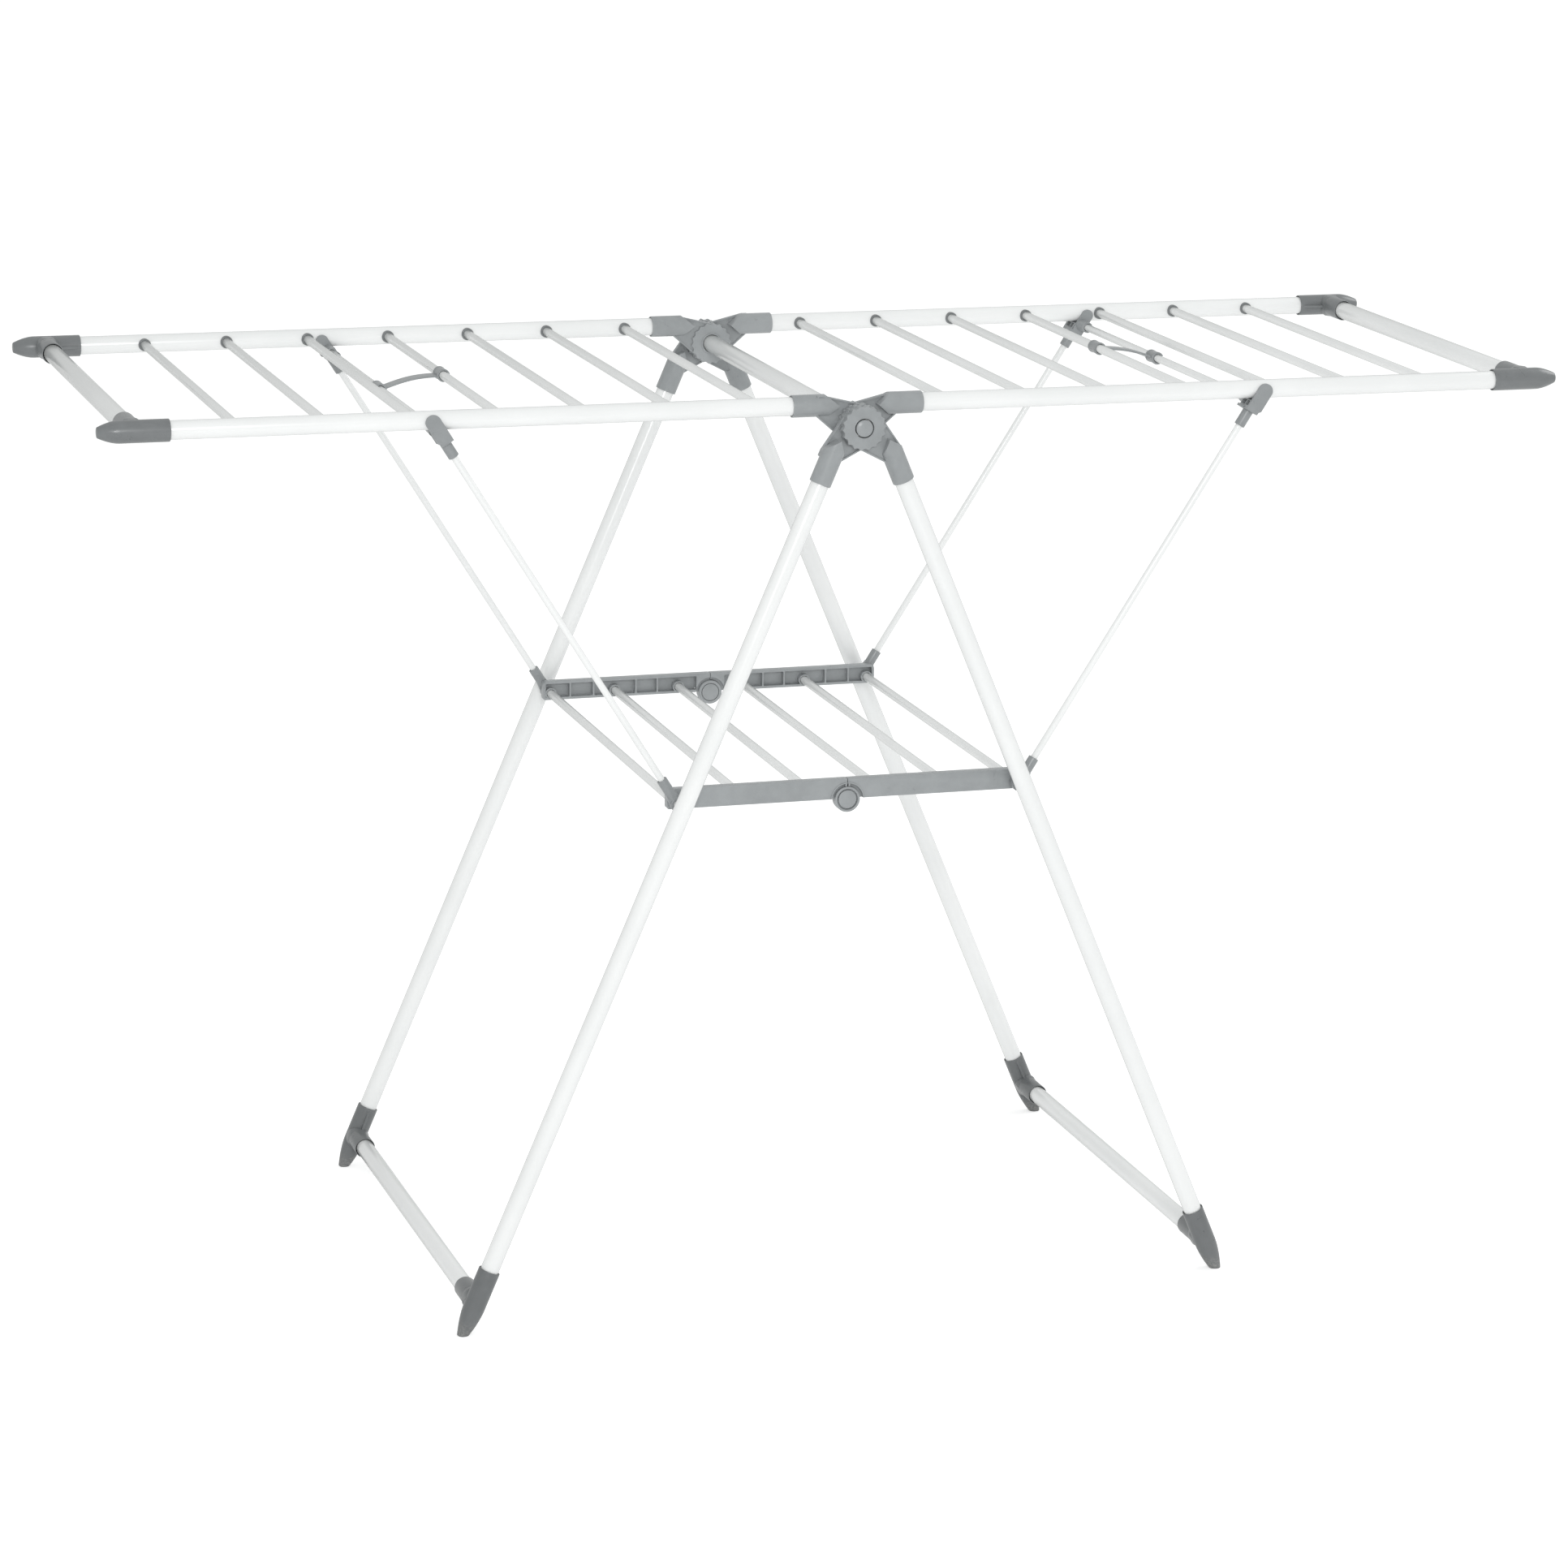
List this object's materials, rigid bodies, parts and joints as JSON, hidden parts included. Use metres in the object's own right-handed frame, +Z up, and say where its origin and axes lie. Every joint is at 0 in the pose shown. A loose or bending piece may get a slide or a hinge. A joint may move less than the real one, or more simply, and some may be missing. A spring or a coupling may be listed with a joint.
{
  "type": "clothes drying rack",
  "caption": "Folding X-leg clothes drying rack with two hinged rung wings on struts, a folding middle shelf and grey hub, corner and foot mouldings.",
  "frame": {"origin": "on the floor under the middle of the hub axle, at the centre of the four feet", "axes": "+Z up, +X along the rack from the left wing to the right wing, +Y along the rungs from the front row to the back row"},
  "size_m": [1.492, 0.577, 0.9284],
  "materials": {
    "white_powder_coat": "white satin powder coat on steel tube and wire",
    "grey_plastic": "mid grey injection moulded plastic, fine satin texture",
    "foot_plastic": "slightly darker grey injection moulded plastic, scuffed at the floor"
  },
  "bodies": {
    "leg_left": {"leg_tube_front_left": "white_powder_coat", "foot_front_left": "foot_plastic", "leg_hub_front_left": "grey_plastic", "leg_tube_back_left": "white_powder_coat", "foot_back_left": "foot_plastic", "axle_and_leg_hub_back_left": "grey_plastic", "foot_bar_left": "white_powder_coat"},
    "leg_right": {"leg_tube_front_right": "white_powder_coat", "foot_front_right": "foot_plastic", "leg_hub_front_right": "grey_plastic", "leg_tube_back_right": "white_powder_coat", "foot_back_right": "foot_plastic", "leg_hub_back_right": "grey_plastic", "foot_bar_right": "white_powder_coat"},
    "wing_left": {"wing_tube_front_left": "white_powder_coat", "wing_cap_front_left": "grey_plastic", "wing_hub_front_left": "grey_plastic", "wing_tube_back_left": "white_powder_coat", "wing_cap_back_left": "grey_plastic", "wing_hub_back_left": "grey_plastic", "wing_end_tube_left": "white_powder_coat", "wing_rung_left_1": "white_powder_coat", "wing_rung_left_2": "white_powder_coat", "wing_rung_left_3": "white_powder_coat", "wing_rung_left_4": "white_powder_coat", "wing_rung_left_5": "white_powder_coat", "wing_rung_left_6": "white_powder_coat", "wing_rung_left_7": "white_powder_coat"},
    "wing_right": {"wing_tube_front_right": "white_powder_coat", "wing_cap_front_right": "grey_plastic", "wing_hub_front_right": "grey_plastic", "wing_tube_back_right": "white_powder_coat", "wing_cap_back_right": "grey_plastic", "wing_hub_back_right": "grey_plastic", "wing_end_tube_right": "white_powder_coat", "wing_rung_right_1": "white_powder_coat", "wing_rung_right_2": "white_powder_coat", "wing_rung_right_3": "white_powder_coat", "wing_rung_right_4": "white_powder_coat", "wing_rung_right_5": "white_powder_coat", "wing_rung_right_6": "white_powder_coat", "wing_rung_right_7": "white_powder_coat"},
    "shelf_left": {"shelf_rail_front_left": "grey_plastic", "shelf_rail_back_left": "grey_plastic", "shelf_rung_left_1": "white_powder_coat", "shelf_rung_left_2": "white_powder_coat", "shelf_rung_left_3": "white_powder_coat"},
    "shelf_right": {"shelf_rail_front_right": "grey_plastic", "shelf_rail_back_right": "grey_plastic", "shelf_rung_right_1": "white_powder_coat", "shelf_rung_right_2": "white_powder_coat", "shelf_rung_right_3": "white_powder_coat"},
    "support_left": {"support_strut_front_left": "white_powder_coat", "support_strut_back_left": "white_powder_coat", "support_rod_left": "white_powder_coat"},
    "support_right": {"support_strut_front_right": "white_powder_coat", "support_strut_back_right": "white_powder_coat", "support_rod_right": "white_powder_coat"},
    "clip_left": {"support_clip_left": "grey_plastic"},
    "clip_right": {"support_clip_right": "grey_plastic"}
  },
  "joints": [
    {"name": "legs_fold", "type": "hinge", "parent": "leg_left", "child": "leg_right", "pos_m": [0, 0, 0.898], "axis": [0, 1, 0], "range_deg": [0, 40]},
    {"name": "wing_left_fold", "type": "hinge", "parent": "leg_left", "child": "wing_left", "pos_m": [0, 0, 0.898], "axis": [0, -1, 0], "range_deg": [0, 54]},
    {"name": "wing_right_fold", "type": "hinge", "parent": "leg_right", "child": "wing_right", "pos_m": [0, 0, 0.898], "axis": [0, 1, 0], "range_deg": [0, 54]},
    {"name": "shelf_left_swing", "type": "hinge", "parent": "leg_left", "child": "shelf_left", "pos_m": [-0.17811, 0, 0.5255], "axis": [0, -1, 0], "range_deg": [0, 61]},
    {"name": "shelf_knee", "type": "hinge", "parent": "shelf_left", "child": "shelf_right", "pos_m": [0, 0, 0.518], "axis": [0, 1, 0], "range_deg": [0, 161]},
    {"name": "support_left_swing", "type": "hinge", "parent": "leg_left", "child": "support_left", "pos_m": [-0.17811, 0, 0.5255], "axis": [0, -1, 0], "range_deg": [0, 120]},
    {"name": "support_right_swing", "type": "hinge", "parent": "leg_right", "child": "support_right", "pos_m": [0.17811, 0, 0.5255], "axis": [0, 1, 0], "range_deg": [0, 120]},
    {"name": "clip_left_turn", "type": "hinge", "parent": "wing_left", "child": "clip_left", "pos_m": [-0.3542, 0, 0.9174], "axis": [0, -1, 0], "range_deg": [0, 25]},
    {"name": "clip_right_turn", "type": "hinge", "parent": "wing_right", "child": "clip_right", "pos_m": [0.3542, 0, 0.9174], "axis": [0, 1, 0], "range_deg": [0, 25]}
  ],
  "couplings": [
    {"joint": "shelf_left_swing", "follows": "legs_fold", "ratio": 1.4864},
    {"joint": "shelf_knee", "follows": "legs_fold", "ratio": 3.9729},
    {"joint": "support_left_swing", "follows": "wing_left_fold", "ratio": 2.2},
    {"joint": "support_right_swing", "follows": "wing_right_fold", "ratio": 2.2},
    {"joint": "clip_left_turn", "follows": "wing_left_fold", "ratio": 0.46},
    {"joint": "clip_right_turn", "follows": "wing_right_fold", "ratio": 0.46}
  ]
}
